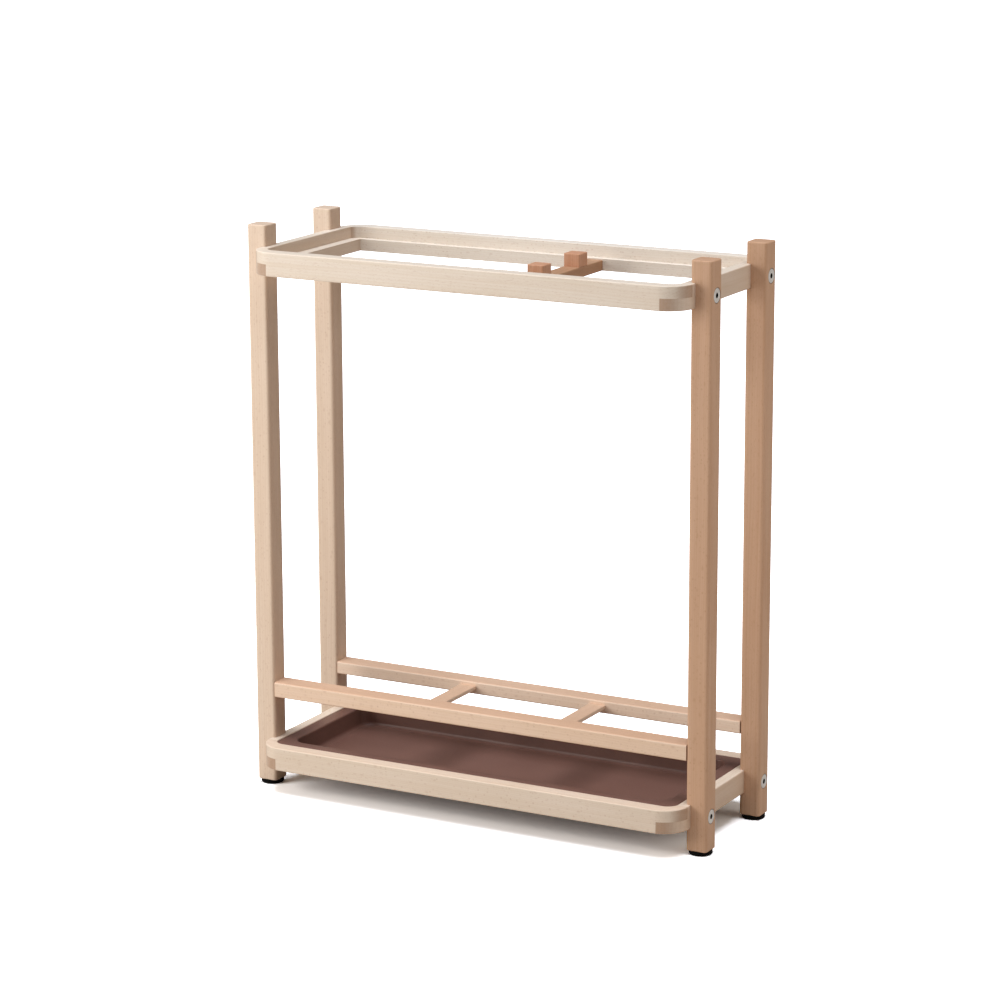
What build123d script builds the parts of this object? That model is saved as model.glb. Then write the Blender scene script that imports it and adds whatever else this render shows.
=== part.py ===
from build123d import *
import os

# Umbrella stand in solid beech: four square posts, bolted to two equal lapped frames.
# The base frame carries a lift-out drip tray, a divided rack stands above it, and the
# top frame has one cross rail with two short pegs.
# Millimetres, +Z up, X along the stand, -Y to the front. The origin is on the floor,
# under the middle of the stand.

# ---------------------------------------------------------------- overall sizes
stand_width = 570.0           # over the outer faces of the posts
stand_depth = 230.0           # over the frames
stand_height = 650.0          # floor to post tops

# ---------------------------------------------------------------- posts and feet
post_size = 25.0
post_edge_radius = 4.0
post_end_ease = 1.5
post_setback = 33.0           # front face of the frames back to the front face of the posts
foot_diameter = 26.0
foot_height = 5.0
foot_edge_radius = 1.8
foot_stem_diameter = 6.0
foot_stem_length = 18.0

# ---------------------------------------------------------------- frames
frame_height = 27.0
rail_width = 26.0
frame_corner_radius = 30.0
frame_edge_ease = 1.5
notch_depth = 6.0             # how far a frame is let into the posts
top_frame_drop = 24.0         # post tops down to the top frame's upper face
base_frame_lift = 30.0        # floor up to the base frame's lower face
pocket_depth = 13.5           # upper face of a frame down to its ledge
pocket_radius = 13.0
pocket_edge_ease = 1.0
long_ledge = 9.0              # ledge along the front and back rails
end_ledge = 13.0              # ledge along the end rails

# ---------------------------------------------------------------- frame bolts
bolt_diameter = 6.0
bolt_hole_clearance = 0.25    # radial, in the posts
bolt_head_diameter = 16.5
bolt_head_thickness = 3.0
bolt_head_sink = 0.2          # head below the face of the post
bolt_head_clearance = 0.25    # radial, round the sunk head
bolt_head_ease = 0.6
socket_across_flats = 5.0
socket_depth = 2.2
insert_diameter = 10.0
insert_length = 12.0
insert_spare = 1.5            # insert beyond the end of the bolt

# ---------------------------------------------------------------- rack above the tray
front_rack_base = 105.5       # floor up to the underside of the front rack rail
front_rack_height = 18.0
back_rack_base = 98.0
back_rack_height = 15.0
rack_edge_radius = 2.0
rack_dowel_diameter = 6.0
rack_dowel_length = 30.0
rack_dowel_spacing = 12.0
slat_base = 103.5
slat_thickness = 5.0
slat_width = 20.0
slat_spacing = 167.0          # between the middles of the two slats
slat_edge_ease = 1.0
slat_tenon = 8.0              # slat let into the back rack rail
slat_lap = 15.0               # slat let into the underside of the front rack rail
slat_screw_diameter = 3.0
slat_screw_head = 6.0
slat_screw_length = 14.0

# ---------------------------------------------------------------- cross rail and pegs
cross_rail_offset = 62.0      # middle of the stand to the middle of the cross rail
cross_rail_width = 20.0
cross_rail_thickness = 12.0
cross_edge_ease = 1.0
cross_dowel_diameter = 6.0
cross_dowel_length = 24.0
peg_height = 14.5
peg_spacing = 86.0
peg_edge_radius = 2.0
peg_screw_diameter = 4.0
peg_screw_head = 8.0
peg_screw_length = 22.0

# ---------------------------------------------------------------- drip tray
tray_gap = 0.5                # between the tray's edge and the frame, all round
tray_drop = 0.5               # tray's flange below the upper face of the frame
tray_wall = 2.0
tray_flange = 16.0
tray_underside = 31.5         # floor up to the underside of the basin
tray_basin_radius = 15.0
tray_basin_draft = 3.0        # degrees
tray_floor_radius = 7.0
tray_mouth_radius = 1.8
tray_edge_radius = 1.2

# ---------------------------------------------------------------- worked-out places
post_x = stand_width / 2 - post_size / 2
post_y = stand_depth / 2 - post_setback - post_size / 2
post_inner_x = stand_width / 2 - post_size
frame_half_x = post_inner_x + notch_depth
frame_half_y = stand_depth / 2
opening_half_x = frame_half_x - rail_width
opening_half_y = frame_half_y - rail_width
pocket_half_x = opening_half_x + end_ledge
pocket_half_y = opening_half_y + long_ledge
top_frame_base = stand_height - top_frame_drop - frame_height
frame_bases = {"top": top_frame_base, "base": base_frame_lift}
sides = {"left": -1, "right": 1}
fronts = {"front": -1, "back": 1}


def block(x_low, x_high, y_low, y_high, z_low, z_high):
    """A plain box between two corners."""
    middle = Pos((x_low + x_high) / 2, (y_low + y_high) / 2, (z_low + z_high) / 2)
    return middle * Box(x_high - x_low, y_high - y_low, z_high - z_low)


def rounded_block(half_x, half_y, radius, z_low, z_high):
    """A box about the Z axis with rounded upright corners."""
    outline = RectangleRounded(2 * half_x, 2 * half_y, radius)
    return extrude(Plane.XY.offset(z_low) * outline, z_high - z_low)


def rod(start, direction, diameter, length):
    """A round bar from a point along an axis."""
    plane = Plane(origin=start, z_dir=direction)
    return plane * Cylinder(diameter / 2, length, align=(Align.CENTER, Align.CENTER, Align.MIN))


def countersunk_screw(x, y, z, diameter, head, length):
    """A wood screw that points up, with its flat head at height z."""
    r = diameter / 2
    cone = (head - diameter) / 2
    points = [(0, 0), (head / 2, 0), (r, cone), (r, length - r), (0, length)]
    profile = Plane.XZ * make_face(Polyline(*points, close=True))
    return Pos(x, y, z) * revolve(profile, Axis.Z)


def bolt_place(side, front, frame_name):
    """Where a frame bolt's axis meets the outer face of its post."""
    z = frame_bases[frame_name] + frame_height / 2
    return (side * stand_width / 2, front * post_y, z)


# ---------------------------------------------------------------- fasteners
def frame_bolt(side, front, frame_name):
    x, y, z = bolt_place(side, front, frame_name)
    inward = (-side, 0, 0)
    head_face = x - side * bolt_head_sink
    under_head = head_face - side * bolt_head_thickness
    head = rod((head_face, y, z), inward, bolt_head_diameter, bolt_head_thickness)
    rims = head.edges().filter_by(GeomType.CIRCLE)
    head = fillet(rims, bolt_head_ease)
    shank_length = abs(under_head) - frame_half_x + insert_length - insert_spare
    shank = rod((under_head, y, z), inward, bolt_diameter, shank_length)
    hexagon = RegularPolygon(socket_across_flats / 2, 6, major_radius=False)
    socket = extrude(Plane(origin=(head_face, y, z), z_dir=inward) * hexagon, socket_depth)
    return head + shank - socket


def bolt_hole(side, front, frame_name):
    """The sunk seat for the head and the clear hole through the post."""
    x, y, z = bolt_place(side, front, frame_name)
    inward = (-side, 0, 0)
    seat_depth = bolt_head_sink + bolt_head_thickness
    seat = rod((x, y, z), inward, bolt_head_diameter + 2 * bolt_head_clearance, seat_depth)
    hole = rod((x, y, z), inward, bolt_diameter + 2 * bolt_hole_clearance, post_size)
    return seat + hole


def insert_blank(side, front, frame_name):
    x, y, z = bolt_place(side, front, frame_name)
    return rod((side * frame_half_x, y, z), (-side, 0, 0), insert_diameter, insert_length)


def threaded_insert(side, front, frame_name):
    x, y, z = bolt_place(side, front, frame_name)
    bore = rod((side * frame_half_x, y, z), (-side, 0, 0), bolt_diameter, insert_length)
    return insert_blank(side, front, frame_name) - bore


def rack_dowel(side, front, step):
    """One of the two dowels between a rack rail and a post."""
    base, height = rack_levels[front]
    start_x = side * (post_inner_x - rack_dowel_length / 2)
    y = front * post_y + step * rack_dowel_spacing / 2
    return rod((start_x, y, base + height / 2), (side, 0, 0), rack_dowel_diameter, rack_dowel_length)


def cross_dowel(front):
    z = top_frame_base + cross_rail_thickness / 2
    start = (cross_rail_offset, front * (opening_half_y - cross_dowel_length / 2), z)
    return rod(start, (0, front, 0), cross_dowel_diameter, cross_dowel_length)


def peg_screw(front):
    y = front * peg_spacing / 2
    return countersunk_screw(cross_rail_offset, y, top_frame_base,
                             peg_screw_diameter, peg_screw_head, peg_screw_length)


def slat_screw(side):
    x = side * slat_spacing / 2
    y = -post_y + post_size / 2 - slat_lap / 2
    return countersunk_screw(x, y, slat_base, slat_screw_diameter, slat_screw_head, slat_screw_length)


# ---------------------------------------------------------------- feet and posts
def foot(side, front):
    pad = Cylinder(foot_diameter / 2, foot_height, align=(Align.CENTER, Align.CENTER, Align.MIN))
    pad = fillet(pad.edges().sort_by(Axis.Z)[0], foot_edge_radius)
    stem = rod((0, 0, foot_height), (0, 0, 1), foot_stem_diameter, foot_stem_length)
    return Pos(side * post_x, front * post_y, 0) * (pad + stem)


def post(side, front):
    body = RectangleRounded(post_size, post_size, post_edge_radius)
    body = extrude(Plane.XY.offset(foot_height) * body, stand_height - foot_height)
    levels = body.edges().group_by(Axis.Z)
    body = fillet(levels[0] + levels[-1], post_end_ease)
    body = Pos(side * post_x, front * post_y, 0) * body
    for frame_name, base in frame_bases.items():
        notch = block(-frame_half_x, frame_half_x, -stand_depth, stand_depth, base, base + frame_height)
        body = body - notch - bolt_hole(side, front, frame_name)
    for step in (-1, 1):
        body = body - rack_dowel(side, front, step)
    return body - foot(side, front)


# ---------------------------------------------------------------- frames
def frame_blank(base):
    """The whole frame before it is parted into rails: rounded outside, pocket and opening inside."""
    top = base + frame_height
    blank = rounded_block(frame_half_x, frame_half_y, frame_corner_radius, base, top)
    levels = blank.edges().group_by(Axis.Z)
    blank = fillet(levels[0] + levels[-1], frame_edge_ease)
    ledge = top - pocket_depth
    blank = blank - rounded_block(pocket_half_x, pocket_half_y, pocket_radius, ledge, top + 1)
    blank = blank - block(-opening_half_x, opening_half_x, -opening_half_y, opening_half_y, base - 1, top)
    pocket_rim = blank.faces().sort_by(Axis.Z)[-1].inner_wires()[0]
    return fillet(pocket_rim.edges(), pocket_edge_ease)


def long_rail(frame_name, front):
    """Front or back rail: its upper half runs on over the end rails."""
    base = frame_bases[frame_name]
    lap = base + frame_height / 2
    near, far = sorted((front * opening_half_y, front * frame_half_y))
    upper = block(-frame_half_x, frame_half_x, near, far, lap, base + frame_height)
    lower = block(-opening_half_x, opening_half_x, near, far, base, lap)
    rail = frame_blank(base) & (upper + lower)
    if frame_name == "top":
        rail = rail - cross_dowel(front)
    return rail


def end_rail(frame_name, side):
    """Left or right rail: its lower half runs on under the front and back rails."""
    base = frame_bases[frame_name]
    lap = base + frame_height / 2
    near, far = sorted((side * opening_half_x, side * frame_half_x))
    upper = block(near, far, -opening_half_y, opening_half_y, lap, base + frame_height)
    lower = block(near, far, -frame_half_y, frame_half_y, base, lap)
    rail = frame_blank(base) & (upper + lower)
    for front in fronts.values():
        rail = rail - insert_blank(side, front, frame_name)
    return rail


# ---------------------------------------------------------------- rack
rack_levels = {-1: (front_rack_base, front_rack_height), 1: (back_rack_base, back_rack_height)}


def slat(side):
    middle = side * slat_spacing / 2
    rail_face = post_y - post_size / 2
    low_y = -rail_face - slat_lap
    high_y = rail_face + slat_tenon
    body = block(middle - slat_width / 2, middle + slat_width / 2, low_y, high_y,
                 slat_base, slat_base + slat_thickness)
    return fillet(body.edges().filter_by(Axis.Y), slat_edge_ease)


def rack_rail(front):
    base, height = rack_levels[front]
    middle = front * post_y
    body = block(-post_inner_x, post_inner_x, middle - post_size / 2, middle + post_size / 2,
                 base, base + height)
    body = fillet(body.edges().filter_by(Axis.X), rack_edge_radius)
    for side in sides.values():
        body = body - slat(side)
        for step in (-1, 1):
            body = body - rack_dowel(side, front, step)
        if front < 0:
            body = body - slat_screw(side)
    return body


# ---------------------------------------------------------------- cross rail and pegs
def cross_rail():
    half = cross_rail_width / 2
    body = block(cross_rail_offset - half, cross_rail_offset + half, -opening_half_y, opening_half_y,
                 top_frame_base, top_frame_base + cross_rail_thickness)
    body = fillet(body.edges().filter_by(Axis.Y), cross_edge_ease)
    for front in fronts.values():
        body = body - cross_dowel(front) - peg_screw(front)
    return body


def peg(front):
    base = top_frame_base + cross_rail_thickness
    body = Box(cross_rail_width, cross_rail_width, peg_height, align=(Align.CENTER, Align.CENTER, Align.MIN))
    body = fillet(body.edges().filter_by(Axis.Z), peg_edge_radius)
    body = fillet(body.edges().group_by(Axis.Z)[-1], peg_edge_radius / 2)
    return Pos(cross_rail_offset, front * peg_spacing / 2, base) * body - peg_screw(front)


# ---------------------------------------------------------------- drip tray
def drip_tray():
    """A moulded tray: flange with a skirt that stands on the ledge, round a drafted basin."""
    ledge = base_frame_lift + frame_height - pocket_depth
    top = base_frame_lift + frame_height - tray_drop
    half_x = pocket_half_x - tray_gap
    half_y = pocket_half_y - tray_gap
    corner = pocket_radius - tray_gap
    mouth_x = half_x - tray_flange
    mouth_y = half_y - tray_flange
    depth = top - tray_underside

    rim = rounded_block(half_x, half_y, corner, ledge, top)
    rim = fillet(rim.edges().group_by(Axis.Z)[-1], tray_edge_radius)
    rim = rim - rounded_block(half_x - tray_wall, half_y - tray_wall, corner - tray_wall,
                              ledge - 1, top - tray_wall)

    outer_mouth = RectangleRounded(2 * (mouth_x + tray_wall), 2 * (mouth_y + tray_wall),
                                   tray_basin_radius + tray_wall)
    shell = extrude(Plane.XY.offset(top) * outer_mouth, -depth, taper=tray_basin_draft)
    shell = fillet(shell.edges().group_by(Axis.Z)[0], tray_floor_radius + tray_wall)

    mouth = RectangleRounded(2 * mouth_x, 2 * mouth_y, tray_basin_radius)
    hollow = extrude(Plane.XY.offset(top) * mouth, tray_wall - depth, taper=tray_basin_draft)
    hollow = fillet(hollow.edges().group_by(Axis.Z)[0], tray_floor_radius)

    tray = rim + shell - hollow
    basin_rim = tray.faces().sort_by(Axis.Z)[-1].inner_wires()[0]
    return fillet(basin_rim.edges(), tray_mouth_radius)


# ---------------------------------------------------------------- all the pieces
pieces = {}
for end_name, side in sides.items():
    for front_name, front in fronts.items():
        pieces[f"post_{front_name}_{end_name}"] = post(side, front)
        pieces[f"foot_{front_name}_{end_name}"] = foot(side, front)
    pieces[f"rack_slat_{end_name}"] = slat(side) - slat_screw(side)

for frame_name in frame_bases:
    for front_name, front in fronts.items():
        pieces[f"{frame_name}_rail_{front_name}"] = long_rail(frame_name, front)
    for end_name, side in sides.items():
        pieces[f"{frame_name}_rail_{end_name}"] = end_rail(frame_name, side)

for front_name, front in fronts.items():
    pieces[f"rack_rail_{front_name}"] = rack_rail(front)
    pieces[f"peg_{front_name}"] = peg(front)

pieces["top_cross_rail"] = cross_rail()
pieces["drip_tray"] = drip_tray()

corners = [(side, front) for side in sides.values() for front in fronts.values()]
bolt_places = [(side, front, name) for side, front in corners for name in frame_bases]
rack_dowel_places = [(side, front, step) for side, front in corners for step in (-1, 1)]
pieces["frame_bolts"] = Compound([frame_bolt(*place) for place in bolt_places])
pieces["threaded_inserts"] = Compound([threaded_insert(*place) for place in bolt_places])
pieces["rack_dowels"] = Compound([rack_dowel(*place) for place in rack_dowel_places])
pieces["cross_rail_dowels"] = Compound([cross_dowel(front) for front in fronts.values()])
pieces["peg_screws"] = Compound([peg_screw(front) for front in fronts.values()])
pieces["slat_screws"] = Compound([slat_screw(side) for side in sides.values()])

os.makedirs("parts", exist_ok=True)
for name, piece in pieces.items():
    export_step(piece, f"parts/{name}.step")
print(len(pieces), "pieces written")
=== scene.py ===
# %% [markdown]
# # An umbrella stand in beech
# The stand is four square posts bolted to two lapped frames. The base frame carries a
# lift-out drip tray, a divided rack stands above it, and the top frame has a cross rail
# with two short pegs. The design comes in as a fixed frame of named nodes, one for each
# real piece, and this lesson gives them their looks: the wood, the moulded tray, the
# rubber feet and the metal fittings.

# %% Bring in the frame
import math
import random

import bmesh
import bpy
from mathutils import Euler, Matrix, Quaternion, Vector


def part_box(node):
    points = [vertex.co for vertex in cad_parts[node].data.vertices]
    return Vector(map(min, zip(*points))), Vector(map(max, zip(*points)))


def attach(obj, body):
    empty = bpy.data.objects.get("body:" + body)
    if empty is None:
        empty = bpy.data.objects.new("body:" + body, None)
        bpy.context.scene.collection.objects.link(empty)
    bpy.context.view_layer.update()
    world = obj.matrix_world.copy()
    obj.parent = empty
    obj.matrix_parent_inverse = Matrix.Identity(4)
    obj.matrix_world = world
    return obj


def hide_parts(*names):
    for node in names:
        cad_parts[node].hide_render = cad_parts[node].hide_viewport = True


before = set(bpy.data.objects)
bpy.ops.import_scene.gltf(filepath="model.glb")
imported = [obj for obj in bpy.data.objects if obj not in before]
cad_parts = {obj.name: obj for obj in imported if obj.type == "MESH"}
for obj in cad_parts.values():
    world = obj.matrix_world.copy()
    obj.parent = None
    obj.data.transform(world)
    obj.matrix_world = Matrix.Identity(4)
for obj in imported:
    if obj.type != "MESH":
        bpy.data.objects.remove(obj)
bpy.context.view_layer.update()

MM = 0.001

# %% [markdown]
# ## The camera
# A tall, thin object looks calm through a long lens from a few steps away, because its
# uprights then stay nearly parallel. The camera is placed by the direction it looks from
# (its azimuth round the stand and its height above the horizon), by its distance, and by
# the point that it aims at. This is easier to change than three raw angles.

# %% Place the camera
view_azimuth = math.radians(28.39)
view_elevation = math.radians(13.24)
view_roll = math.radians(-0.21)
view_distance = 3.813
aim_point = Vector((-0.0104, 0.0003, 0.3474))


def direction_from(azimuth, elevation):
    """The unit vector from the stand towards a place round it; azimuth 0 is straight in front."""
    level = math.cos(elevation)
    return Vector((math.sin(azimuth) * level, -math.cos(azimuth) * level, math.sin(elevation)))


towards_camera = direction_from(view_azimuth, view_elevation)
camera = bpy.data.objects.new("camera", bpy.data.cameras.new("camera"))
camera.data.lens = 123.1
camera.rotation_mode = "QUATERNION"
camera.location = aim_point + towards_camera * view_distance
camera.rotation_quaternion = (-towards_camera).to_track_quat("-Z", "Y") @ Quaternion((0, 0, 1), view_roll)
bpy.context.scene.collection.objects.link(camera)
bpy.context.scene.camera = camera
print("camera at", [round(x, 3) for x in camera.location])

# %% [markdown]
# ## Soft studio light
# A product shot on white has one wide light overhead and a softer one in front and to the
# left. The overhead one is a sun with a wide angle, which acts like a very large softbox
# and lights a big floor evenly, so it stays white to the horizon. The front one is a real
# panel two steps away, because a near light falls off, and the left end of the stand is
# then a little brighter than the right. A small warm panel on the right keeps the posts'
# outer faces from going dull. The world adds a low even fill, but the camera sees it as
# plain white.

# %% Hang the lights
def hang_light(name, lamp, azimuth, elevation, distance, height=0.0):
    """Points a light at the stand from a direction, with angles in degrees."""
    holder = bpy.data.objects.new(name, lamp)
    from_where = direction_from(math.radians(azimuth), math.radians(elevation))
    holder.rotation_mode = "QUATERNION"
    holder.rotation_quaternion = from_where.to_track_quat("Z", "Y")
    holder.location = from_where * distance + Vector((0, 0, height))
    holder.visible_camera = False
    bpy.context.scene.collection.objects.link(holder)


def soft_sun(name, azimuth, elevation, spread, strength, colour):
    lamp = bpy.data.lights.new(name, "SUN")
    lamp.angle = math.radians(spread)
    lamp.energy = strength
    lamp.color = colour
    hang_light(name, lamp, azimuth, elevation, 3.0)


def soft_panel(name, azimuth, elevation, distance, width, power, colour):
    lamp = bpy.data.lights.new(name, "AREA")
    lamp.shape = "SQUARE"
    lamp.size = width
    lamp.energy = power
    lamp.color = colour
    hang_light(name, lamp, azimuth, elevation, distance, height=0.3)


soft_sun("overhead_light", 30, 84, 44, 2.9, (0.97, 1.0, 1.06))
soft_panel("front_panel", -40, 18, 2.2, 1.2, 30.0, (1.0, 0.985, 0.96))
soft_panel("right_panel", 97, 12, 1.5, 0.9, 3.6, (1.0, 0.94, 0.86))

world = bpy.data.worlds.new("studio")
world.use_nodes = True
bpy.context.scene.world = world
room = world.node_tree
room.nodes.clear()
fill = room.nodes.new("ShaderNodeBackground")
fill.inputs["Color"].default_value = (1.0, 1.0, 1.0, 1.0)
fill.inputs["Strength"].default_value = 0.10
white = room.nodes.new("ShaderNodeBackground")
white.inputs["Color"].default_value = (1.0, 1.0, 1.0, 1.0)
white.inputs["Strength"].default_value = 1.1
ray = room.nodes.new("ShaderNodeLightPath")
either = room.nodes.new("ShaderNodeMixShader")
sky = room.nodes.new("ShaderNodeOutputWorld")
room.links.new(ray.outputs["Is Camera Ray"], either.inputs[0])
room.links.new(fill.outputs[0], either.inputs[1])
room.links.new(white.outputs[0], either.inputs[2])
room.links.new(either.outputs[0], sky.inputs["Surface"])
bpy.context.scene.view_settings.view_transform = "Standard"
print("a sun, two panels and a white world")

# %% [markdown]
# ## Short words for node work
# A procedural finish is a small graph of nodes. Writing every link by hand hides the idea
# behind the wiring, so short helpers come first. They add a node and fill or link its
# inputs, do a sum, fade between two limits, mix or tint colours, stretch a vector and make
# noise. The last ones open a node group, which is an effect that several materials share,
# put a group in a material, and wire a finished look to its shader.

# %% Helpers for nodes
def add(tree, kind, values=None, **settings):
    """Adds a shader node; values are numbers, colours or sockets, by input name or number."""
    made = tree.nodes.new("ShaderNode" + kind)
    for name, setting in settings.items():
        setattr(made, name, setting)
    for name, value in (values or {}).items():
        if isinstance(value, bpy.types.NodeSocket):
            tree.links.new(value, made.inputs[name])
        else:
            made.inputs[name].default_value = value
    return made


def calc(tree, operation, *values, clamp=False):
    """One sum on numbers or sockets."""
    return add(tree, "Math", dict(enumerate(values)), operation=operation, use_clamp=clamp).outputs[0]


def distance_from_axis(tree, x, y):
    """How far a point is from an axis, from its two distances square to it."""
    squares = [calc(tree, "MULTIPLY", part, part) for part in (x, y)]
    return calc(tree, "SQRT", calc(tree, "ADD", *squares))


def fade(tree, value, start, end, low=0.0, high=1.0):
    """Goes smoothly from low to high as value goes from start to end."""
    sockets = {0: value, 1: start, 2: end, 3: low, 4: high}
    return add(tree, "MapRange", sockets, interpolation_type="SMOOTHSTEP").outputs[0]


def blend_colours(tree, amount, first, second, blend="MIX"):
    """Mixes two colours by an amount from 0 to 1."""
    mixer = add(tree, "Mix", {0: amount, 6: first, 7: second}, data_type="RGBA", blend_type=blend)
    return mixer.outputs[2]


def tint(tree, amount, base, factor):
    """Multiplies a colour by a factor for each channel, as far as an amount from 0 to 1."""
    tinted = blend_colours(tree, 1.0, base, (*factor, 1.0), blend="MULTIPLY")
    return blend_colours(tree, amount, base, tinted)


def stretched(tree, vector, x, y, z):
    """A vector divided by three lengths, so that a pattern of size 1 gets those lengths."""
    return add(tree, "VectorMath", {0: vector, 1: (1 / x, 1 / y, 1 / z)}, operation="MULTIPLY").outputs[0]


def noise(tree, vector, detail=2.0, roughness=0.5):
    values = {"Vector": vector, "Scale": 1.0, "Detail": detail, "Roughness": roughness}
    return add(tree, "TexNoise", values)


def colour(red, green, blue):
    """A colour from its screen values of 0 to 255, as the linear light that Blender mixes."""
    return tuple((x / 255) ** 2.2 for x in (red, green, blue)) + (1.0,)


SOCKETS = {"number": "NodeSocketFloat", "colour": "NodeSocketColor", "vector": "NodeSocketVector"}


def open_group(name, inputs, outputs):
    """A new node group; inputs are (name, kind, value) and outputs are (name, kind)."""
    tree = bpy.data.node_groups.new(name, "ShaderNodeTree")
    for label, kind, value in inputs:
        socket = tree.interface.new_socket(label, in_out="INPUT", socket_type=SOCKETS[kind])
        if value is not None:
            socket.default_value = value
    for label, kind in outputs:
        tree.interface.new_socket(label, in_out="OUTPUT", socket_type=SOCKETS[kind])
    inside = tree.nodes.new("NodeGroupInput").outputs
    outside = tree.nodes.new("NodeGroupOutput").inputs
    return tree, inside, outside


def open_material(name):
    """A new material with a Principled shader, ready to be wired."""
    material = bpy.data.materials.new(name)
    material.use_nodes = True
    tree = material.node_tree
    return material, tree, tree.nodes["Principled BSDF"]


def place_group(tree, group, values):
    """Puts a node group in a material, with its own values, and returns its outputs."""
    return add(tree, "Group", values, node_tree=group).outputs


def in_millimetres(tree):
    """The place of each point on the object itself, in millimetres."""
    where = add(tree, "TexCoord").outputs["Object"]
    return add(tree, "Mapping", {"Vector": where, "Scale": (1 / MM, 1 / MM, 1 / MM)}).outputs[0]


def wire(tree, shader, base, roughness, height, bump_depth, bump_strength):
    """Links a look's colour, roughness and bump to its shader."""
    bump = add(tree, "Bump", {"Height": height, "Distance": bump_depth, "Strength": bump_strength})
    tree.links.new(base, shader.inputs["Base Color"])
    tree.links.new(roughness, shader.inputs["Roughness"])
    tree.links.new(bump.outputs[0], shader.inputs["Normal"])


print("node helpers ready")

# %% [markdown]
# ## Worn and softened edges
# Every edge that hands and umbrellas brush against looks a little different from the face
# beside it. A mask for that could be painted, but an ambient occlusion node that looks
# inwards finds the edges by itself: near an outer edge, short rays sent into the body
# soon come out again. The group turns that into a mask and breaks it up with noise, so
# that no edge is outlined evenly. On the tray the same mask also lays a painted highlight
# on the rounded rims.

# %% Group: worn edges
def build_worn_edges():
    tree, inside, outside = open_group(
        "edge wear and highlight",
        [("Point in mm", "vector", None), ("Reach in mm", "number", 2.0), ("Patchiness", "number", 0.5)],
        [("Edge", "number")])
    reach = calc(tree, "MULTIPLY", inside["Reach in mm"], MM)
    inward = add(tree, "AmbientOcclusion", {"Distance": reach}, samples=8, inside=True, only_local=True)
    edge = fade(tree, inward.outputs["AO"], 0.85, 0.35)
    patches = fade(tree, noise(tree, stretched(tree, inside["Point in mm"], 9, 9, 9)).outputs[0], 0.35, 0.65)
    kept = calc(tree, "SUBTRACT", 1.0, inside["Patchiness"])
    share = calc(tree, "ADD", calc(tree, "MULTIPLY", patches, inside["Patchiness"]), kept)
    tree.links.new(calc(tree, "MULTIPLY", edge, share), outside["Edge"])
    return tree


edge_wear_and_highlight = build_worn_edges()
print("group:", edge_wear_and_highlight.name)
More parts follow.
